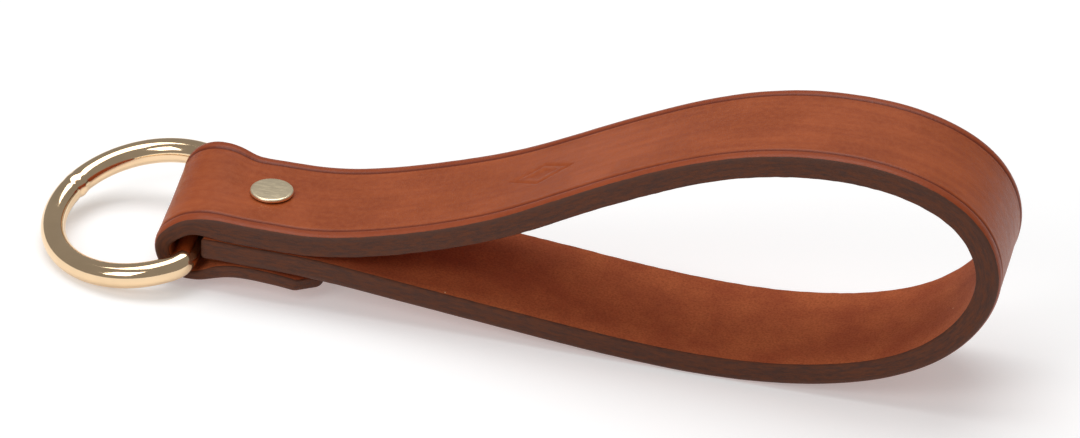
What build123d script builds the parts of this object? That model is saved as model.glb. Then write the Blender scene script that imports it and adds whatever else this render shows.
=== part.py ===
"""Martingale: a leather loop strap folded round a dee ring and closed by one rivet.

Frame: +X runs from the ring to the far end of the loop, +Y across the strap, +Z up.
The origin is under the middle of the piece, at the level it rests on. All sizes in mm.
"""
from build123d import *
import math
import os

# Leather strap. Its edges draw in to a neck round the ring's bar, so that the ring can swing
STRAP_WIDTH = 26.4
NECK_WIDTH = 25.4
NECK_FROM_X = -47.0
NECK_TO_X = -56.0
LEATHER = 4.4
EDGE_ROUND = 0.7
SKIN_STEPS = 200

# The three layers under the rivet: the strap's top run, its other end, and the thinned tail
LAYER_GAP = 0.15
TAIL = 2.8
TAIL_CORNER = 4.2
STACK_TOP = 15.6
TOP_Z = STACK_TOP - LEATHER / 2
END_Z = TOP_Z - LEATHER - LAYER_GAP
TAIL_Z = END_Z - LEATHER / 2 - LAYER_GAP - TAIL / 2

# The strap's centre line (x, z), from the tip of the tail round the fold and the loop to its end.
# The fold is twisted: the ring's bar lifts its far edge (+Y) above its near edge (-Y). The loop is
# twisted a little too: its third number is how far the far edge stands above the near edge there.
TAIL_TIP_X = -34.7
TAIL_LINE = [(TAIL_TIP_X, TAIL_Z - 1.4), (-40.0, TAIL_Z - 0.5), (-45.0, TAIL_Z), (-50.0, TAIL_Z)]
NEAR_FOLD = [
    (-54.5, 4.0),
    (-58.5, 2.55),
    (-62.2, 3.05),
    (-64.55, 5.7),
    (-64.65, 8.75),
    (-62.5, 11.2),
    (-60.0, 12.75),
    (-56.5, TOP_Z),
    (-54.0, TOP_Z),
]
FAR_FOLD = [
    (-54.5, 4.4),
    (-58.8, 3.95),
    (-62.6, 5.3),
    (-65.25, 7.75),
    (-66.1, 11.05),
    (-64.3, 14.75),
    (-61.0, 16.2),
    (-57.0, 15.5),
    (-54.0, 14.0),
]
LOOP_LINE = [
    (-51.5, TOP_Z, 0.15),
    (-48.0, TOP_Z, 0.0),
    (-44.0, TOP_Z, 0.0),
    (-39.0, TOP_Z, 0.2),
    (-27.6, 15.0, 0.7),
    (-15.2, 18.5, 1.0),
    (-0.6, 24.2, 0.9),
    (13.5, 31.8, 0.5),
    (25.8, 38.2, 0.2),
    (43.7, 45.1, 0.0),
    (62.0, 47.5, -0.4),
    (75.0, 45.6, -0.5),
    (86.0, 38.7, -0.4),
    (89.5, 30.0, -0.3),
    (84.0, 16.2, -0.2),
    (64.0, 5.2, 0.2),
    (38.6, 2.2, 0.6),
    (8.3, 4.1, 0.8),
    (-22.4, 7.3, 0.4),
    (-38.0, 8.7, 0.0),
    (-44.0, END_Z, 0.0),
    (-50.0, END_Z, 0.0),
    (-57.4, END_Z - 0.1, 0.0),
]

NEAR_LINE = TAIL_LINE + NEAR_FOLD + [(x, z) for x, z, lift in LOOP_LINE]
FAR_LINE = TAIL_LINE + FAR_FOLD + [(x, z + lift) for x, z, lift in LOOP_LINE]

# Leather thickness by distance from the tip: the tail and the fold are pared down
THICKNESS = [
    (0, 2.6),
    (10, TAIL),
    (20, 2.7),
    (25, 2.0),
    (28, 2.1),
    (31, 2.8),
    (37, 3.1),
    (42, 3.4),
    (47, LEATHER),
]

# Ring: round wire bent to an arc and closed by a straight bar, resting on its lowest point
RING_INSIDE = 31.75
WIRE = 4.76
RING_RADIUS = (RING_INSIDE + WIRE) / 2
BAR_OFFSET = 10.9
CORNER_RADIUS = 4.2
RING_X = -71.35
RING_SLOPE = 9.5
RING_ROLL = 11.5

# Rivet: a low-headed cap whose pin is pressed into a tubular post with a head of its own
RIVET_X = -47.3
RIVET_HEAD = 8.2
HEAD_THICKNESS = 0.8
HEAD_ROUND = 0.4
HEAD_SEAT = STACK_TOP + 0.25
POST_SEAT = TAIL_Z - TAIL / 2 - 0.2
POST_TOP = STACK_TOP - 0.2
POST_OUTER = 3.4
POST_BORE = 2.2
PIN = 2.1
PIN_LENGTH = 7.0
HOLE_CLEARANCE = 0.1


def leather_thickness(distance):
    """Thickness of the leather at a distance along the strap from the tip of its tail."""
    for (start, before), (end, after) in zip(THICKNESS, THICKNESS[1:]):
        if distance < end:
            return before + (after - before) * (distance - start) / (end - start)
    return LEATHER


def strap_section(y, line, inset):
    """The strap seen along its width, as one band that doubles back on itself."""
    with BuildLine(mode=Mode.PRIVATE):
        centre = Spline(*line)
    grain = []
    flesh = []
    for step in range(SKIN_STEPS + 1):
        u = step / SKIN_STEPS
        half = leather_thickness(u * centre.length) / 2 - inset
        across = (centre % u).rotate(Axis.Z, 90)
        grain.append(centre @ u + across * half)
        flesh.append(centre @ u - across * half)
    with BuildSketch(Plane.XZ.offset(-y)) as section:
        with BuildLine():
            Spline(*grain)
            Line(grain[-1], flesh[-1])
            Spline(*reversed(flesh))
            Line(flesh[0], grain[0])
        make_face()
    return section.sketch


def make_strap():
    """The leather strap, with eased edges, a rivet hole, clipped tail corners and a neck at the fold."""
    edge = STRAP_WIDTH / 2
    sections = [
        strap_section(-edge, NEAR_LINE, EDGE_ROUND),
        strap_section(EDGE_ROUND - edge, NEAR_LINE, 0),
        strap_section(edge - EDGE_ROUND, FAR_LINE, 0),
        strap_section(edge, FAR_LINE, EDGE_ROUND),
    ]
    clip_top = END_Z - LEATHER / 2 - LAYER_GAP / 2
    with BuildPart() as strap:
        loft(sections, ruled=True)
        with BuildSketch(Plane.XY):
            with Locations((RIVET_X, 0)):
                Circle(POST_OUTER / 2 + HOLE_CLEARANCE)
        extrude(amount=STACK_TOP * 2, mode=Mode.SUBTRACT)
        for side in (-1, 1):
            with BuildSketch(Plane.XY):
                with BuildLine():
                    Polyline(
                        (TAIL_TIP_X - TAIL_CORNER, side * (edge + 1)),
                        (TAIL_TIP_X - TAIL_CORNER, side * edge),
                        (TAIL_TIP_X, side * (edge - TAIL_CORNER)),
                        (TAIL_TIP_X + 1, side * (edge - TAIL_CORNER)),
                        (TAIL_TIP_X + 1, side * (edge + 1)),
                        close=True,
                    )
                make_face()
            extrude(amount=clip_top, mode=Mode.SUBTRACT)
            with BuildSketch(Plane.XY):
                with BuildLine():
                    Polyline(
                        (NECK_FROM_X, side * edge),
                        (NECK_TO_X, side * NECK_WIDTH / 2),
                        (RING_X, side * NECK_WIDTH / 2),
                        (RING_X, side * (edge + 1)),
                        (NECK_FROM_X, side * (edge + 1)),
                        close=True,
                    )
                make_face()
            extrude(amount=2 * STACK_TOP, mode=Mode.SUBTRACT)
    return strap.part


def ring_plane():
    """The ring's own plane: x towards the bar, y along the bar, its lowest point at rest height."""
    slope = math.radians(RING_SLOPE)
    roll = math.radians(RING_ROLL)
    to_bar = Vector(math.cos(slope), 0, math.sin(slope))
    upright = Vector(-math.sin(slope), 0, math.cos(slope))
    normal = upright * math.cos(roll) - Vector(0, 1, 0) * math.sin(roll)
    along_bar = normal.cross(to_bar)
    drop = RING_RADIUS * math.hypot(to_bar.Z, along_bar.Z)
    return Plane((RING_X, 0, drop + WIRE / 2), x_dir=to_bar, z_dir=normal)


def make_ring():
    """The dee ring: wire swept along an arc and a straight bar with rounded corners."""
    half_bar = math.sqrt(RING_RADIUS**2 - BAR_OFFSET**2)
    plane = ring_plane()
    with BuildPart() as dee_ring:
        with BuildLine(plane) as path:
            ThreePointArc((BAR_OFFSET, -half_bar), (-RING_RADIUS, 0), (BAR_OFFSET, half_bar))
            Line((BAR_OFFSET, half_bar), (BAR_OFFSET, -half_bar))
            fillet(path.vertices(), radius=CORNER_RADIUS)
        wire_start = Plane(plane.from_local_coords((-RING_RADIUS, 0, 0)), x_dir=plane.x_dir, z_dir=plane.y_dir)
        with BuildSketch(wire_start):
            Circle(WIRE / 2)
        sweep()
    return dee_ring.part


def make_rivet_cap():
    """The rivet's upper half: a low head with a rounded rim on the grain side, and its pin below."""
    with BuildPart() as rivet_cap:
        with BuildSketch(Plane.XY.offset(HEAD_SEAT)):
            with Locations((RIVET_X, 0)):
                Circle(RIVET_HEAD / 2)
        extrude(amount=HEAD_THICKNESS)
        fillet(rivet_cap.edges().sort_by(Axis.Z)[-1], radius=HEAD_ROUND)
        with BuildSketch(Plane.XY.offset(HEAD_SEAT)):
            with Locations((RIVET_X, 0)):
                Circle(PIN / 2)
        extrude(amount=-PIN_LENGTH)
    return rivet_cap.part


def make_rivet_post():
    """The rivet's lower half: a flat head under the tail and a tube up through the three layers."""
    with BuildPart() as rivet_post:
        with BuildSketch(Plane.XY.offset(POST_SEAT)):
            with Locations((RIVET_X, 0)):
                Circle(RIVET_HEAD / 2)
        extrude(amount=-HEAD_THICKNESS)
        fillet(rivet_post.edges().sort_by(Axis.Z)[0], radius=HEAD_ROUND)
        with BuildSketch(Plane.XY.offset(POST_SEAT)):
            with Locations((RIVET_X, 0)):
                Circle(POST_OUTER / 2)
                Circle(POST_BORE / 2, mode=Mode.SUBTRACT)
        extrude(amount=POST_TOP - POST_SEAT)
    return rivet_post.part


os.makedirs("parts", exist_ok=True)
PIECES = {
    "strap": make_strap,
    "dee_ring": make_ring,
    "rivet_cap": make_rivet_cap,
    "rivet_post": make_rivet_post,
}
for name, make in PIECES.items():
    piece = make()
    piece.label = name
    export_step(piece, f"parts/{name}.step")
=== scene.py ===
"""The martingale's looks: a detailed strap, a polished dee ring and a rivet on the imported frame.

The pieces' sizes are written in millimetres and turned into metres by MM; lights, camera and floor
are in metres. +X runs from the ring to the loop's far end, +Y across the strap, +Z up.
"""
import math

import bmesh
import bpy
import numpy as np
from mathutils import Matrix, Vector


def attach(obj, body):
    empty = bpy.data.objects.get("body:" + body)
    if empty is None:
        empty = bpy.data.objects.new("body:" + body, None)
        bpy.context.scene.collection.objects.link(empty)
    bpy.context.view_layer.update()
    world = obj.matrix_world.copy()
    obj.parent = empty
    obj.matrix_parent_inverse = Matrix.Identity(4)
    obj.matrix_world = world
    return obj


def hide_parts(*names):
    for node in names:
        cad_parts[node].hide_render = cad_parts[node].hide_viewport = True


MM = 0.001

# ---------------------------------------------------------------- the strap's design, as in the CAD
STRAP_WIDTH = 26.4
# The strap draws in to the neck's width between these two places, to pass through the ring
NECK_WIDTH = 25.4
NECK_FROM_X = -47.0
NECK_TO_X = -56.0
LEATHER = 4.4
STACK_TOP = 15.6
TOP_Z = 13.4
END_Z = 8.85
TAIL_Z = 5.1
# Centre line of the leather in x and z: from the tail's tip round the fold, then the whole loop.
# The fold has a line for each edge of the strap, as it twists.
TAIL_LINE = [(-34.7, TAIL_Z - 1.4), (-40.0, TAIL_Z - 0.5), (-45.0, TAIL_Z), (-50.0, TAIL_Z)]
NEAR_FOLD = [
    (-54.5, 4.0),
    (-58.5, 2.55),
    (-62.2, 3.05),
    (-64.55, 5.7),
    (-64.65, 8.75),
    (-62.5, 11.2),
    (-60.0, 12.75),
    (-56.5, TOP_Z),
    (-54.0, TOP_Z),
]
FAR_FOLD = [
    (-54.5, 4.4),
    (-58.8, 3.95),
    (-62.6, 5.3),
    (-65.25, 7.75),
    (-66.1, 11.05),
    (-64.3, 14.75),
    (-61.0, 16.2),
    (-57.0, 15.5),
    (-54.0, 14.0),
]
# The third number is how far the far edge stands above the near edge
LOOP_LINE = [
    (-51.5, TOP_Z, 0.15),
    (-48.0, TOP_Z, 0.0),
    (-44.0, TOP_Z, 0.0),
    (-39.0, TOP_Z, 0.2),
    (-27.6, 15.0, 0.7),
    (-15.2, 18.5, 1.0),
    (-0.6, 24.2, 0.9),
    (13.5, 31.8, 0.5),
    (25.8, 38.2, 0.2),
    (43.7, 45.1, 0.0),
    (62.0, 47.5, -0.4),
    (75.0, 45.6, -0.5),
    (86.0, 38.7, -0.4),
    (89.5, 30.0, -0.3),
    (84.0, 16.2, -0.2),
    (64.0, 5.2, 0.2),
    (38.6, 2.2, 0.6),
    (8.3, 4.1, 0.8),
    (-22.4, 7.3, 0.4),
    (-38.0, 8.7, 0.0),
    (-44.0, END_Z, 0.0),
    (-50.0, END_Z, 0.0),
    (-57.4, END_Z - 0.1, 0.0),
]
TOP_RUN_KNOTS = 9
# Thickness at distances along the strap: skived thin where it folds round the ring
THICKNESS_AT = [0, 10, 20, 25, 28, 31, 37, 42, 47]
THICKNESS = [2.6, 2.8, 2.7, 2.0, 2.1, 2.8, 3.1, 3.4, LEATHER]
TAIL = 2.8
TAIL_CORNER = 4.2

# Edge shape and tooling of the strap
GRAIN_ROUND = 1.0
FLESH_ROUND = 0.5
END_ROUND = 0.9
SMALLEST_ROUND = 0.05
ROUND_STEPS = 7
CREASE_IN = 2.5
CREASE_DEPTH = 0.3
CREASE_WIDTH = 0.28
BEAD_HEIGHT = 0.12
BEAD_WIDTH = 0.6
BEAD_OUT = 0.85
SHOULDER_HEIGHT = BEAD_HEIGHT * 0.4
SHOULDER_WIDTH = 0.45
SHOULDER_IN = 0.7

# Unevenness of the leather, in layers of height, cell size and seed
SKIN_LAYERS = [(0.04, 8.0, 1), (0.015, 2.2, 2)]
NAP_LAYERS = [(0.02, 0.9, 3)]
CUT_LAYERS = [(0.045, 1.3, 4), (0.06, 5.0, 5)]

# Plain tooled lozenge on the top run; its border and panel are shares of its half size
LOZENGE_X = 5.0
LOZENGE_HALF_LENGTH = 6.5
LOZENGE_HALF_WIDTH = 3.6
LOZENGE_DEPTH = 0.28
LOZENGE_BORDER = 0.93
LOZENGE_BORDER_WIDTH = 0.075
LOZENGE_PANEL = 0.42
LOZENGE_PANEL_RIM = 0.52
LOZENGE_SINK = 0.05

# Steps between the strap's cross-sections, and the stretches that need short ones
TAIL_STEP = 0.6
FOLD_STEP = 0.4
PLAIN_STEP = 0.7
LOZENGE_STEP = 0.25
END_STEP = 0.5
FOLD_FROM = 20
FOLD_TO = 50
LOZENGE_REACH = 9
END_REACH = 12
GRAIN_POINTS = 65
FLESH_POINTS = 37
FINE_POINTS = 12000

# Ring, as in the CAD
WIRE = 4.76
RING_RADIUS = (31.75 + WIRE) / 2
BAR_OFFSET = 10.9
CORNER_RADIUS = 4.2
RING_X = -71.35
RING_SLOPE = math.radians(9.5)
RING_ROLL = math.radians(11.5)
ROUND_SIDE_POINTS = 220
CORNER_POINTS = 16
BAR_POINTS = 22
WIRE_POINTS = 48

# The ring's weld, on the wire at this angle: a lump, a dip beside it and ripples round the wire
WELD_ANGLE = math.radians(155)
WELD_LUMP = 0.16
WELD_LUMP_REACH = 1.1
WELD_DIP = 0.09
WELD_DIP_AT = 1.5
WELD_DIP_REACH = 0.5
WELD_RIPPLE = 0.05
WELD_RIPPLE_REACH = 1.4

# Rivet, as in the CAD
RIVET_X = -47.3
RIVET_HEAD = 8.2
HEAD_THICKNESS = 0.8
# The heads stand clear of the leather by these small gaps
HEAD_GAP = 0.25
POST_GAP = 0.2
HEAD_SEAT = STACK_TOP + HEAD_GAP
POST_SEAT = TAIL_Z - TAIL / 2 - POST_GAP
POST_TOP = STACK_TOP - 0.2
POST_OUTER = 3.4
POST_BORE = 2.2
PIN = 2.1
PIN_LENGTH = 7.0
RIM_ROUND = 0.34
SMALL_BEVEL = 0.1
TURNED_POINTS = 96

# Camera: the direction it looks from, its roll and its distance in metres from its target
CAMERA_AZIMUTH = math.radians(11.75)
CAMERA_ELEVATION = math.radians(30.64)
CAMERA_ROLL = math.radians(3.34)
CAMERA_DISTANCE = 1.0
CAMERA_TARGET = (0.0042, 0.0, 0.01968)
CAMERA_LENS = 180.0

# Studio: each light has a name, a place, a size and watts, and aims at LIGHT_AIM
LIGHTS = [
    ("overhead", (-0.1, 0.15, 0.9), (0.9, 0.6), 5.5),
    ("key", (-0.5, -0.8, 0.7), (0.5, 0.5), 3.2),
]
LIGHT_AIM = (0, 0, 0.02)
WORLD_LEVEL = 0.3
FLOOR_REACH = 3
FLOOR_GREY = 0.8
FLOOR_GLOW = 0.3


# ---------------------------------------------------------------- small helpers
def smoothstep(low, high, value):
    """0 below low, 1 above high, smooth between."""
    t = np.clip((value - low) / (high - low), 0, 1)
    return t * t * (3 - 2 * t)


def bump_profile(distance, width):
    """A bell curve of height 1."""
    return np.exp(-((distance / width) ** 2))


def value_noise(points, scale, seed):
    """Smooth repeatable noise from -1 to 1 at an array of 3-D points, in cells of size scale.

    Each cell's corners get their level from a hash of their whole-number places.
    """
    cell = points / scale
    base = np.floor(cell).astype(np.int64)
    part = cell - base
    part = part * part * (3 - 2 * part)
    total = np.zeros(len(points))
    for corner in range(8):
        offset = np.array([corner & 1, corner >> 1 & 1, corner >> 2 & 1])
        key = (base + offset) * np.array([73856093, 19349663, 83492791])
        mixed = (key[:, 0] ^ key[:, 1] ^ key[:, 2]) + seed * 1013904223
        mixed = (mixed ^ (mixed >> 13)) * 1274126177 % 2147483647
        level = mixed / 1073741823.5 - 1
        weight = np.prod(np.where(offset == 1, part, 1 - part), axis=1)
        total += level * weight
    return total


def unevenness(points, layers):
    """Layers of noise added up."""
    return sum(height * value_noise(points, cell, seed) for height, cell, seed in layers)


def new_mesh_object(name, vertices, faces):
    """A smooth-shaded mesh object from vertices in millimetres, with its faces turned outwards."""
    mesh = bpy.data.meshes.new(name)
    mesh.from_pydata((np.asarray(vertices) * MM).tolist(), [], faces)
    shape = bmesh.new()
    shape.from_mesh(mesh)
    bmesh.ops.recalc_face_normals(shape, faces=shape.faces)
    shape.to_mesh(mesh)
    shape.free()
    mesh.shade_smooth()
    piece = bpy.data.objects.new(name, mesh)
    bpy.context.scene.collection.objects.link(piece)
    return piece


# ---------------------------------------------------------------- the strap's shape
class SmoothLine:
    """A natural cubic spline through points, like the CAD's centre line."""

    def __init__(self, points):
        self.points = np.array(points, float)
        self.spans = np.hypot(*np.diff(self.points, axis=0).T)
        count = len(self.points)
        system = np.zeros((count, count))
        target = np.zeros((count, 2))
        system[0, 0] = system[-1, -1] = 1
        slopes = np.diff(self.points, axis=0) / self.spans[:, None]
        for i in range(1, count - 1):
            before, after = self.spans[i - 1], self.spans[i]
            system[i, i - 1 : i + 2] = before, 2 * (before + after), after
            target[i] = 6 * (slopes[i] - slopes[i - 1])
        self.bends = np.linalg.solve(system, target)

    def at(self, knots):
        """Positions at knot values: 2.5 is halfway from point 2 to point 3."""
        index = np.clip(np.floor(knots).astype(int), 0, len(self.spans) - 1)
        span = self.spans[index][:, None]
        part = (knots - index)[:, None] * span
        p, q = self.points[index], self.points[index + 1]
        m, n = self.bends[index], self.bends[index + 1]
        slope = (q - p) / span - span * (2 * m + n) / 6
        return p + part * slope + part**2 * m / 2 + part**3 * (n - m) / (6 * span)

    def directions(self, knots):
        """Unit tangents at knot values."""
        step = 1e-3
        ahead = self.at(np.minimum(knots + step, len(self.spans)))
        behind = self.at(np.maximum(knots - step, 0))
        tangent = ahead - behind
        return tangent / np.linalg.norm(tangent, axis=1)[:, None]


GRAIN_ROWS = np.linspace(-1, 1, GRAIN_POINTS)
FLESH_ROWS = np.linspace(-1, 1, FLESH_POINTS)[1:-1]
NEAR_LINE = SmoothLine(TAIL_LINE + NEAR_FOLD + [(x, z) for x, z, lift in LOOP_LINE])
FAR_LINE = SmoothLine(TAIL_LINE + FAR_FOLD + [(x, z + lift) for x, z, lift in LOOP_LINE])
LAST_KNOT = len(NEAR_LINE.spans)
FINE_KNOTS = np.linspace(0, LAST_KNOT, FINE_POINTS)
FINE_PATH = NEAR_LINE.at(FINE_KNOTS)
FINE_LENGTH = np.concatenate([[0], np.cumsum(np.hypot(*np.diff(FINE_PATH, axis=0).T))])
STRAP_LENGTH = FINE_LENGTH[-1]


def distance_where(x, first, last):
    """Distance along the strap where its centre line passes x, between two knots."""
    inside = (FINE_KNOTS >= first) & (FINE_KNOTS <= last)
    nearest = np.argmin(np.abs(FINE_PATH[inside, 0] - x))
    return FINE_LENGTH[inside][nearest]


FIRST_LOOP_KNOT = len(TAIL_LINE) + len(NEAR_FOLD)
LOZENGE_AT = distance_where(LOZENGE_X, FIRST_LOOP_KNOT, FIRST_LOOP_KNOT + TOP_RUN_KNOTS)


def strap_stations():
    """Distances along the strap of its cross-sections, closer together where detail is finer."""
    turn = np.linspace(0, math.pi / 2, ROUND_STEPS - 1)
    tip = END_ROUND * (1 - np.cos(turn))
    lozenge_from, lozenge_to = LOZENGE_AT - LOZENGE_REACH, LOZENGE_AT + LOZENGE_REACH
    stretches = [
        (END_ROUND, FOLD_FROM, TAIL_STEP),
        (FOLD_FROM, FOLD_TO, FOLD_STEP),
        (FOLD_TO, lozenge_from, PLAIN_STEP),
        (lozenge_from, lozenge_to, LOZENGE_STEP),
        (lozenge_to, STRAP_LENGTH - END_REACH, PLAIN_STEP),
        (STRAP_LENGTH - END_REACH, STRAP_LENGTH - END_ROUND, END_STEP),
    ]
    rows = [tip[:-1]]
    for start, end, step in stretches:
        count = round((end - start) / step)
        rows.append(np.arange(count) * (end - start) / count + start)
    rows.append(STRAP_LENGTH - tip[::-1])
    return np.concatenate(rows)


def end_inset(distance):
    """How far the strap's section shrinks inwards close to its two ends, to round them."""
    from_end = np.minimum(distance, STRAP_LENGTH - distance)
    left = np.clip(END_ROUND - from_end, 0, END_ROUND)
    return END_ROUND - np.sqrt(END_ROUND**2 - left**2)


def section_outline(half_width, half_thickness, inset):
    """The strap's outline at one station, as an array with one row for each point.

    A row holds y, the offset from the centre line, the outward normal's two parts, how much of a
    cut edge the point is, 1 on the grain side to -1 on the flesh side, and the distance in from
    the strap's edge.
    """
    width = half_width - inset
    height = half_thickness - inset
    grain = max(min(GRAIN_ROUND, half_thickness) - inset, SMALLEST_ROUND)
    flesh = max(min(FLESH_ROUND, half_thickness * 0.6) - inset, SMALLEST_ROUND)
    wall_top = height - grain
    wall_foot = flesh - height
    wall = wall_top + height - flesh
    turns = np.linspace(0, math.pi / 2, ROUND_STEPS)
    points = [(y, height, 0, 1, 0, 1) for y in GRAIN_ROWS * (width - grain)]
    for sign in (1, -1):
        arc = []
        for turn in turns[1:]:
            sin, cos = math.sin(turn), math.cos(turn)
            cut = smoothstep(0.4, 0.95, turn)
            y = sign * (width - grain + grain * sin)
            arc.append((y, wall_top + grain * cos, sign * sin, cos, cut, 1))
        for part in (0.25, 0.5, 0.75):
            arc.append((sign * width, wall_top - wall * part, sign, 0, 1, 1 - 2 * part))
        for turn in turns:
            sin, cos = math.sin(turn), math.cos(turn)
            cut = smoothstep(0.1, 0.5, math.pi / 2 - turn)
            y = sign * (width - flesh + flesh * cos)
            arc.append((y, wall_foot - flesh * sin, sign * cos, -sin, cut, -1))
        if sign == 1:
            points += arc
            points += [(y, -height, 0, -1, 0, -1) for y in FLESH_ROWS[::-1] * (width - flesh)]
        else:
            points += arc[::-1]
    outline = np.array(points)
    margin = half_width - np.abs(outline[:, :1])
    return np.hstack([outline, margin])


def crease_relief(margin):
    """The line tooled along both edges of the grain side, between a bead and a low shoulder."""
    inwards = margin - CREASE_IN
    groove = -CREASE_DEPTH * bump_profile(inwards, CREASE_WIDTH)
    bead = BEAD_HEIGHT * bump_profile(inwards + BEAD_OUT, BEAD_WIDTH)
    shoulder = SHOULDER_HEIGHT * bump_profile(inwards - SHOULDER_IN, SHOULDER_WIDTH)
    return groove + bead + shoulder


def lozenge_relief(distance, y):
    """A plain impressed lozenge: a line border with a smaller lozenge sunk in its middle."""
    along = np.abs(distance - LOZENGE_AT) / LOZENGE_HALF_LENGTH
    radius = along + np.abs(y) / LOZENGE_HALF_WIDTH
    border = bump_profile(radius - LOZENGE_BORDER, LOZENGE_BORDER_WIDTH)
    panel = 1 - smoothstep(LOZENGE_PANEL, LOZENGE_PANEL_RIM, radius)
    pressed = 1 - smoothstep(0.9, 1.15, radius)
    return -LOZENGE_DEPTH * (border + 0.8 * panel * (1 - 0.35 * along)) - LOZENGE_SINK * pressed


def skin_relief(flat, normal_out, cut, side, margin):
    """How far the skin stands out of its plain shape: unevenness, tooling and frayed edges."""
    distance, y = flat[:, 0], flat[:, 1]
    tooling = (crease_relief(margin) + lozenge_relief(distance, y)) * normal_out
    relief = unevenness(flat, SKIN_LAYERS)
    relief += np.where((side > 0.5) & (normal_out > 0.1), tooling, 0)
    relief += np.where(side < -0.5, unevenness(flat, NAP_LAYERS), 0)
    relief += cut * unevenness(flat, CUT_LAYERS)
    return relief


def grid_faces(rows, columns, closed):
    """Quads over rows of points that each go round; closed joins the last row to the first."""
    faces = []
    for i in range(rows if closed else rows - 1):
        for j in range(columns):
            k = (j + 1) % columns
            n = (i + 1) % rows
            faces.append((i * columns + j, i * columns + k, n * columns + k, n * columns + j))
    return faces


def make_strap():
    """The leather strap as one closed skin, with attributes for its finish to read.

    "leather" is where a point lies on the flat leather, "cut" how much of a cut edge it is,
    "margin" its distance in from the edge, and "level" 1 on the grain side to -1 on the flesh side.
    """
    stations = strap_stations()
    knots = np.interp(stations, FINE_LENGTH, FINE_KNOTS)
    near, far = NEAR_LINE.at(knots), FAR_LINE.at(knots)
    near_way, far_way = NEAR_LINE.directions(knots), FAR_LINE.directions(knots)
    thickness = np.interp(stations, THICKNESS_AT, THICKNESS)
    inset = end_inset(stations)
    rows = []
    facts = []
    for i, distance in enumerate(stations):
        neck = (STRAP_WIDTH - NECK_WIDTH) / 2 * smoothstep(NECK_FROM_X, NECK_TO_X, near[i, 0])
        half_width = STRAP_WIDTH / 2 - neck - max(0, TAIL_CORNER - distance)
        outline = section_outline(half_width, thickness[i] / 2, inset[i])
        y, offset, normal_y, normal_out, cut, side, margin = outline.T
        share = np.clip(y / STRAP_WIDTH + 0.5, 0, 1)[:, None]
        centre = near[i] * (1 - share) + far[i] * share
        way = near_way[i] * (1 - share) + far_way[i] * share
        way /= np.linalg.norm(way, axis=1)[:, None]
        out = np.stack([-way[:, 1], way[:, 0]], axis=1)
        flat = np.stack([np.full(len(y), distance), y, offset], axis=1)
        relief = skin_relief(flat, normal_out, cut, side, margin) * (1 - inset[i] / END_ROUND)
        place = centre + out * (offset + relief * normal_out)[:, None]
        rows.append(np.stack([place[:, 0], y + relief * normal_y, place[:, 1]], axis=1))
        cut = np.maximum(cut, smoothstep(0.02, 0.3, inset[i]))
        facts.append(np.column_stack([flat, cut, margin, offset / (thickness[i] / 2)]))
    per_row = len(rows[0])
    faces = grid_faces(len(stations), per_row, closed=False)
    last = (len(stations) - 1) * per_row
    faces.append(tuple(range(per_row)))
    faces.append(tuple(range(last, last + per_row)))
    strap = new_mesh_object("strap_leather", np.concatenate(rows), faces)
    facts = np.concatenate(facts).astype(np.float32)
    layer = strap.data.attributes.new("leather", "FLOAT_VECTOR", "POINT")
    layer.data.foreach_set("vector", facts[:, :3].ravel())
    for column, name in ((3, "cut"), (4, "margin"), (5, "level")):
        layer = strap.data.attributes.new(name, "FLOAT", "POINT")
        layer.data.foreach_set("value", facts[:, column])
    return strap


# ---------------------------------------------------------------- the metal pieces' shapes
def ring_axes():
    """The ring's centre, the direction to its bar, the direction along the bar, and its normal."""
    to_bar = np.array([math.cos(RING_SLOPE), 0, math.sin(RING_SLOPE)])
    upright = np.array([-math.sin(RING_SLOPE), 0, math.cos(RING_SLOPE)])
    normal = upright * math.cos(RING_ROLL) - np.array([0, 1, 0]) * math.sin(RING_ROLL)
    along_bar = np.cross(normal, to_bar)
    drop = RING_RADIUS * math.hypot(to_bar[2], along_bar[2])
    return np.array([RING_X, 0, drop + WIRE / 2]), to_bar, along_bar, normal


def arc_points(centre_x, centre_y, radius, angles):
    """Points round an arc, each with its direction from the arc's centre."""
    return [(centre_x + radius * math.cos(a), centre_y + radius * math.sin(a), a) for a in angles]


def dee_path():
    """Points round the dee in its own plane, with the outward direction of the wire at each."""
    whole = 2 * math.pi
    corner_x = BAR_OFFSET - CORNER_RADIUS
    corner_y = math.sqrt((RING_RADIUS - CORNER_RADIUS) ** 2 - corner_x**2)
    start = math.atan2(corner_y, corner_x)
    round_side = np.linspace(start, whole - start, ROUND_SIDE_POINTS)
    first_corner = np.linspace(whole - start, whole, CORNER_POINTS)[1:]
    bar = np.linspace(0, 1, BAR_POINTS)[1:]
    last_corner = np.linspace(0, start, CORNER_POINTS)[1:-1]
    path = arc_points(0, 0, RING_RADIUS, round_side)
    path += arc_points(corner_x, -corner_y, CORNER_RADIUS, first_corner)
    path += [(BAR_OFFSET, -corner_y + 2 * corner_y * share, whole) for share in bar]
    path += arc_points(corner_x, corner_y, CORNER_RADIUS, last_corner)
    return path


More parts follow.
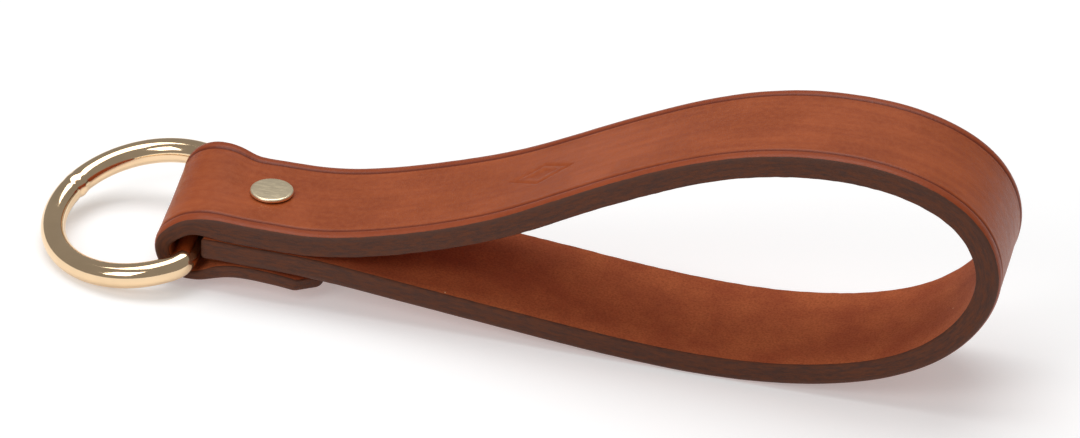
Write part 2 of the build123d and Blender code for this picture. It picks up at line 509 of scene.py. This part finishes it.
def make_ring():
    """The polished dee ring, with the small lumpy bead where its wire is welded shut."""
    centre, to_bar, along_bar, normal = ring_axes()
    path = dee_path()
    vertices = []
    for x, y, angle in path:
        outward = to_bar * math.cos(angle) + along_bar * math.sin(angle)
        middle = centre + to_bar * x + along_bar * y
        from_weld = RING_RADIUS * (angle - WELD_ANGLE)
        lump = WELD_LUMP * bump_profile(from_weld, WELD_LUMP_REACH)
        dip = WELD_DIP * bump_profile(from_weld - WELD_DIP_AT, WELD_DIP_REACH)
        ripple = WELD_RIPPLE * bump_profile(from_weld, WELD_RIPPLE_REACH)
        for step in range(WIRE_POINTS):
            turn = 2 * math.pi * step / WIRE_POINTS
            inner = 0.5 - 0.5 * math.cos(turn)
            weld = lump * (0.35 + inner) - dip * (0.3 + inner)
            weld += ripple * math.sin(5 * turn + 1.3 * from_weld)
            spoke = outward * math.cos(turn) + normal * math.sin(turn)
            vertices.append(middle + spoke * (WIRE / 2 + weld))
    faces = grid_faces(len(path), WIRE_POINTS, closed=True)
    return new_mesh_object("dee_ring_polished", vertices, faces)


def turned(name, profile, x):
    """A closed solid turned about an upright axis at x; profile lists radius and height."""
    vertices = []
    rings = []
    for radius, height in profile:
        if radius == 0:
            rings.append([len(vertices)] * TURNED_POINTS)
            vertices.append((x, 0, height))
            continue
        rings.append(list(range(len(vertices), len(vertices) + TURNED_POINTS)))
        for step in range(TURNED_POINTS):
            turn = 2 * math.pi * step / TURNED_POINTS
            vertices.append((x + radius * math.cos(turn), radius * math.sin(turn), height))
    faces = []
    for lower, upper in zip(rings, rings[1:]):
        for j in range(TURNED_POINTS):
            k = (j + 1) % TURNED_POINTS
            corners = [lower[j], lower[k], upper[k], upper[j]]
            faces.append(tuple(dict.fromkeys(corners)))
    return new_mesh_object(name, vertices, faces)


def rounded_corner(centre_radius, centre_height, size, start, end, steps=6):
    """Profile points round a corner, from one angle to another in degrees."""
    arc = arc_points(centre_radius, centre_height, size, np.radians(np.linspace(start, end, steps)))
    return [(radius, height) for radius, height, angle in arc]


def make_rivet_cap():
    """The rivet's head on the grain side, faintly domed inside a rolled rim, with its pin below."""
    radius = RIVET_HEAD / 2
    top = HEAD_SEAT + HEAD_THICKNESS
    tip = HEAD_SEAT - PIN_LENGTH
    profile = [(0, tip), (PIN / 2 - 0.2, tip), (PIN / 2, tip + 0.2)]
    profile += [(PIN / 2, HEAD_SEAT - SMALL_BEVEL), (PIN / 2 + SMALL_BEVEL, HEAD_SEAT)]
    profile += [(radius - 0.25, HEAD_SEAT)]
    profile += rounded_corner(radius - 0.2, HEAD_SEAT + 0.2, 0.2, -90, 0)
    profile += rounded_corner(radius - RIM_ROUND, top - RIM_ROUND - 0.06, RIM_ROUND, 0, 80)
    profile += [(radius - 0.6, top - 0.055), (radius * 0.7, top - 0.03)]
    profile += [(radius * 0.4, top - 0.008), (0, top)]
    return turned("rivet_head_top", profile, RIVET_X)


def make_rivet_post():
    """The rivet's lower head with its open tube up through the three layers of leather."""
    radius = RIVET_HEAD / 2
    bottom = POST_SEAT - HEAD_THICKNESS
    outer, bore = POST_OUTER / 2, POST_BORE / 2
    profile = [(0, bottom), (radius * 0.6, bottom + 0.015)]
    profile += rounded_corner(radius - RIM_ROUND, bottom + 0.38, RIM_ROUND, -85, 0)
    profile += rounded_corner(radius - 0.15, POST_SEAT - 0.15, 0.15, 0, 90)
    profile += [(outer + SMALL_BEVEL, POST_SEAT), (outer, POST_SEAT + SMALL_BEVEL)]
    profile += [(outer, POST_TOP - SMALL_BEVEL), (outer - SMALL_BEVEL, POST_TOP)]
    profile += [(bore + SMALL_BEVEL, POST_TOP), (bore, POST_TOP - SMALL_BEVEL)]
    profile += [(bore, POST_SEAT), (0, POST_SEAT)]
    return turned("rivet_post_below", profile, RIVET_X)


# ---------------------------------------------------------------- materials
def colour(red, green, blue):
    """A linear colour from 0-255 screen values."""
    channels = [v / 255 for v in (red, green, blue)]
    linear = [v / 12.92 if v <= 0.04045 else ((v + 0.055) / 1.055) ** 2.4 for v in channels]
    return (*linear, 1.0)


GRAIN_DEEP = colour(150, 68, 26)
GRAIN_PALE = colour(166, 80, 38)
GRAIN_STREAK = colour(134, 54, 22)
GRAIN_MOTTLE = colour(180, 96, 52)
GRAIN_MARGIN = colour(138, 56, 22)
# Dark line in the tooled crease: partly the burnished crease's own tone, partly painted shade in
# the groove
GROOVE_BURNISH_AND_SHADE = colour(92, 30, 14)
GRAIN_SPECK = colour(214, 160, 120)
FLESH_DEEP = colour(168, 82, 44)
FLESH_PALE = colour(190, 102, 56)
FLESH_NAP = colour(120, 54, 32)
FLESH_SPECK = colour(226, 184, 140)
EDGE_DEEP = colour(66, 34, 20)
EDGE_PALE = colour(100, 54, 32)
# Greyish tone painted on the edges' upper part: a painted highlight, the light's gloss on the
# rounded grain corner
EDGE_PAINTED_SHEEN = colour(84, 54, 42)
RING_BRASS = colour(243, 212, 172)
RIVET_BRASS = colour(255, 236, 200)


class Finish:
    """A node material under construction, around one Principled shader."""

    def __init__(self, name):
        self.material = bpy.data.materials.new(name)
        self.material.use_nodes = True
        self.tree = self.material.node_tree
        self.shader = self.tree.nodes["Principled BSDF"]

    def feed(self, socket, value):
        """Links a socket to another node's output, or sets it to a plain value."""
        if isinstance(value, bpy.types.NodeSocket):
            self.tree.links.new(value, socket)
        else:
            socket.default_value = value

    def node(self, kind, inputs=(), **settings):
        """A new node with its settings, and its inputs given by name or number."""
        made = self.tree.nodes.new("ShaderNode" + kind)
        for key, value in settings.items():
            setattr(made, key, value)
        for key, value in dict(inputs).items():
            self.feed(made.inputs[key], value)
        return made

    def math(self, operation, first, second=0.0):
        """The result of one arithmetic operation on one or two values."""
        return self.node("Math", {0: first, 1: second}, operation=operation).outputs[0]

    def mix(self, factor, first, second):
        """A colour between two others."""
        return self.node("Mix", {0: factor, 6: first, 7: second}, data_type="RGBA").outputs[2]

    def mix_values(self, factor, first, second):
        """A plain value between two others."""
        return self.node("Mix", {0: factor, 2: first, 3: second}).outputs[0]

    def between(self, value, low, high, low_out=0.0, high_out=1.0):
        """A value stretched smoothly from one range to another."""
        inputs = {0: value, 1: low, 2: high, 3: low_out, 4: high_out}
        return self.node("MapRange", inputs, interpolation_type="SMOOTHSTEP").outputs[0]

    def read(self, name, output="Fac"):
        """A value stored on the mesh."""
        return self.node("Attribute", attribute_name=name).outputs[output]

    def stretched(self, vector, scale):
        """Coordinates with each axis scaled by its own number."""
        return self.node("Mapping", {"Vector": vector, "Scale": scale}).outputs[0]

    def noise(self, vector, scale, detail, roughness=0.55):
        """Cloudy noise from 0 to 1."""
        inputs = {"Vector": vector, "Scale": scale, "Detail": detail, "Roughness": roughness}
        return self.node("TexNoise", inputs).outputs[0]

    def cells(self, vector, scale):
        """Small pits: the distance to the nearest cell's middle."""
        return self.node("TexVoronoi", {"Vector": vector, "Scale": scale}).outputs["Distance"]

    def specks(self, vector, scale, size, share):
        """1 on small round specks: one for each cell that the share picks."""
        near = self.node("TexVoronoi", {"Vector": vector, "Scale": scale})
        lot = self.node("SeparateColor", {0: near.outputs["Color"]}).outputs[0]
        picked = self.math("LESS_THAN", lot, share)
        dot = self.between(near.outputs["Distance"], size * scale, size * scale * 0.5)
        return self.math("MULTIPLY", dot, picked)

    def bump(self, height, distance, strength):
        """A normal tilted by a height; distance is in metres."""
        inputs = {"Height": height, "Distance": distance, "Strength": strength}
        return self.node("Bump", inputs).outputs[0]


def grain_colour(made, place, margin, mottle):
    """The smooth side: clouds, streaks along the strap, mottling, darker margins, and a dark line
    in the crease that is partly the burnished crease's own tone and partly painted shade.
    """
    cloud = made.noise(place, 0.07, 2)
    streak = made.noise(made.stretched(place, (0.12, 1.1, 1)), 0.5, 3)
    outer = made.between(margin, CREASE_IN + 0.1, CREASE_IN - 0.5)
    from_crease = made.math("ABSOLUTE", made.math("SUBTRACT", margin, CREASE_IN))
    tint = made.mix(made.between(cloud, 0.35, 0.65), GRAIN_DEEP, GRAIN_PALE)
    tint = made.mix(made.between(streak, 0.3, 0.7, 0, 0.45), tint, GRAIN_STREAK)
    tint = made.mix(made.between(mottle, 0.35, 0.7, 0, 0.3), tint, GRAIN_MOTTLE)
    tint = made.mix(made.math("MULTIPLY", outer, 0.55), tint, GRAIN_MARGIN)
    # Painted shade in the crease groove, together with its burnished darker tone
    tint = made.mix(made.between(from_crease, 0.6, 0.1, 0, 0.8), tint, GROOVE_BURNISH_AND_SHADE)
    return made.mix(made.specks(place, 0.11, 0.16, 0.3), tint, GRAIN_SPECK)


def flesh_side_colour(made, place, nap):
    """The rough side: broad patches, a dark nap and a few pale fibres."""
    patch = made.noise(place, 0.12, 4)
    tint = made.mix(made.between(patch, 0.3, 0.7), FLESH_DEEP, FLESH_PALE)
    tint = made.mix(made.between(nap, 0.35, 0.75, 0, 0.6), tint, FLESH_NAP)
    return made.mix(made.specks(place, 0.16, 0.2, 0.35), tint, FLESH_SPECK)


def edge_colour(made, level, fibre):
    """The dyed cut edges: fibres, and a painted greyish sheen towards the grain side, standing in
    for the light's gloss on the rounded corner.
    """
    tint = made.mix(made.between(fibre, 0.3, 0.7), EDGE_DEEP, EDGE_PALE)
    # Painted highlight: the edge turns greyer towards the grain side, where the light glints on the
    # rounded corner
    return made.mix(made.between(level, 0.3, 0.8, 0, 0.5), tint, EDGE_PAINTED_SHEEN)


def leather_finish():
    """Waxed chestnut bridle leather: smooth grain, dark burnished edges and a napped flesh side.

    Noise scales are per millimetre of the flat leather, which make_strap stores on the mesh.
    """
    made = Finish("bridle_leather")
    place = made.read("leather", "Vector")
    level = made.read("level")
    margin = made.read("margin")
    fray = made.math("MULTIPLY", made.noise(made.stretched(place, (0.5, 1, 1)), 1.6, 4), 0.5)
    cut = made.between(made.math("ADD", made.read("cut"), fray), 0.6, 0.9)
    flesh = made.between(level, 0.05, -0.05)
    mottle = made.noise(place, 0.9, 5, 0.65)
    nap = made.noise(place, 2.2, 6, 0.7)
    fibre = made.noise(made.stretched(place, (0.3, 1, 1.6)), 1.4, 5, 0.7)

    grain_tint = grain_colour(made, place, margin, mottle)
    face = made.mix(flesh, grain_tint, flesh_side_colour(made, place, nap))
    tint = made.mix(cut, face, edge_colour(made, level, fibre))
    made.feed(made.shader.inputs["Base Color"], tint)

    rough_grain = made.between(mottle, 0.3, 0.7, 0.36, 0.5)
    rough_flesh = made.between(nap, 0.3, 0.7, 0.78, 0.92)
    rough_edge = made.between(fibre, 0.3, 0.7, 0.5, 0.8)
    rough = made.mix_values(cut, made.mix_values(flesh, rough_grain, rough_flesh), rough_edge)
    made.feed(made.shader.inputs["Roughness"], rough)
    made.feed(made.shader.inputs["Specular IOR Level"], 0.3)

    pores = made.math("MULTIPLY", made.cells(made.stretched(place, (0.8, 1, 1)), 2.6), 0.35)
    fine = made.math("MULTIPLY", made.noise(place, 3.5, 4, 0.6), 0.5)
    grain_height = made.math("ADD", pores, fine)
    flesh_height = made.noise(place, 3.0, 6, 0.75)
    fibre_height = made.noise(made.stretched(place, (0.35, 1, 1.3)), 2.2, 6, 0.75)
    edge_height = made.math("MULTIPLY", fibre_height, 2.2)
    height = made.mix_values(flesh, grain_height, flesh_height)
    height = made.mix_values(cut, height, edge_height)
    made.feed(made.shader.inputs["Normal"], made.bump(height, 0.00012, 0.6))
    return made.material


def brass_finish(name, tint, low_rough, high_rough):
    """Polished brass with hairline scratches and a faint uneven tarnish. Scales are per metre."""
    made = Finish(name)
    place = made.node("TexCoord").outputs["Object"]
    cloud = made.noise(place, 90, 3)
    hairline = made.noise(made.stretched(place, (500, 2500, 2500)), 1.0, 4, 0.7)
    dulled = (*(v * 0.9 for v in tint[:3]), 1.0)
    tarnished = made.mix(made.between(cloud, 0.35, 0.65), tint, dulled)
    rough = made.between(hairline, 0.35, 0.7, low_rough, high_rough)
    made.feed(made.shader.inputs["Base Color"], tarnished)
    made.feed(made.shader.inputs["Metallic"], 1.0)
    made.feed(made.shader.inputs["Roughness"], rough)
    made.feed(made.shader.inputs["Normal"], made.bump(hairline, 0.000004, 0.4))
    return made.material


# ---------------------------------------------------------------- studio
def make_floor():
    """A large pale floor under the part, glowing a little so that it stays near white."""
    mesh = bpy.data.meshes.new("floor")
    signs = [(-1, -1), (1, -1), (1, 1), (-1, 1)]
    corners = [(x * FLOOR_REACH, y * FLOOR_REACH, 0) for x, y in signs]
    mesh.from_pydata(corners, [], [(0, 1, 2, 3)])
    floor = bpy.data.objects.new("floor", mesh)
    bpy.context.scene.collection.objects.link(floor)
    made = Finish("pale_floor")
    made.feed(made.shader.inputs["Base Color"], (FLOOR_GREY, FLOOR_GREY, FLOOR_GREY, 1))
    made.feed(made.shader.inputs["Roughness"], 0.9)
    made.feed(made.shader.inputs["Emission Color"], (1, 1, 1, 1))
    made.feed(made.shader.inputs["Emission Strength"], FLOOR_GLOW)
    mesh.materials.append(made.material)


def make_light(name, place, size, watts):
    """A soft rectangular light at a place, pointed at the part."""
    lamp = bpy.data.lights.new(name, "AREA")
    lamp.shape = "RECTANGLE"
    lamp.size, lamp.size_y = size
    lamp.energy = watts
    light = bpy.data.objects.new(name, lamp)
    light.location = place
    aim = Vector(LIGHT_AIM) - Vector(place)
    light.rotation_euler = aim.to_track_quat("-Z", "Y").to_euler()
    bpy.context.scene.collection.objects.link(light)


def make_camera():
    """The camera, placed by its bearing, height and roll around its target."""
    cos, sin = math.cos(CAMERA_AZIMUTH), math.sin(CAMERA_AZIMUTH)
    low, high = math.cos(CAMERA_ELEVATION), math.sin(CAMERA_ELEVATION)
    back = Vector((sin * low, -cos * low, high))
    level_right = Vector((cos, sin, 0))
    level_up = back.cross(level_right)
    right = level_right * math.cos(CAMERA_ROLL) + level_up * math.sin(CAMERA_ROLL)
    up = back.cross(right)
    data = bpy.data.cameras.new("camera")
    data.lens = CAMERA_LENS
    camera = bpy.data.objects.new("camera", data)
    place = Matrix.Translation(Vector(CAMERA_TARGET) + back * CAMERA_DISTANCE)
    camera.matrix_world = place @ Matrix((right, up, back)).transposed().to_4x4()
    bpy.context.scene.collection.objects.link(camera)
    bpy.context.scene.camera = camera


def make_world():
    """An even white surround."""
    world = bpy.data.worlds.new("studio")
    world.use_nodes = True
    background = world.node_tree.nodes["Background"]
    background.inputs["Color"].default_value = (1, 1, 1, 1)
    background.inputs["Strength"].default_value = WORLD_LEVEL
    bpy.context.scene.world = world


# ---------------------------------------------------------------- the scene
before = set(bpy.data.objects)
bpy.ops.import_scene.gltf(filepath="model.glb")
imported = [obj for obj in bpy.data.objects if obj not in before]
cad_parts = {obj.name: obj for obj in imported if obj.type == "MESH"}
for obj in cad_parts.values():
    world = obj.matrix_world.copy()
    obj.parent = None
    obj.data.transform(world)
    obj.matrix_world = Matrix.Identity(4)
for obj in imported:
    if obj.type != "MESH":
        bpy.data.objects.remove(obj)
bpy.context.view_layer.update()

strap = make_strap()
strap.data.materials.append(leather_finish())
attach(strap, "strap")
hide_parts("strap")

ring = make_ring()
ring.data.materials.append(brass_finish("polished_brass", RING_BRASS, 0.05, 0.13))
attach(ring, "ring")
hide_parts("dee_ring")

rivet_metal = brass_finish("rivet_brass", RIVET_BRASS, 0.3, 0.42)
for piece, node in ((make_rivet_cap(), "rivet_cap"), (make_rivet_post(), "rivet_post")):
    piece.data.materials.append(rivet_metal)
    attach(piece, "strap")
    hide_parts(node)

make_floor()
make_world()
for light in LIGHTS:
    make_light(*light)
make_camera()
bpy.context.scene.view_settings.view_transform = "Standard"
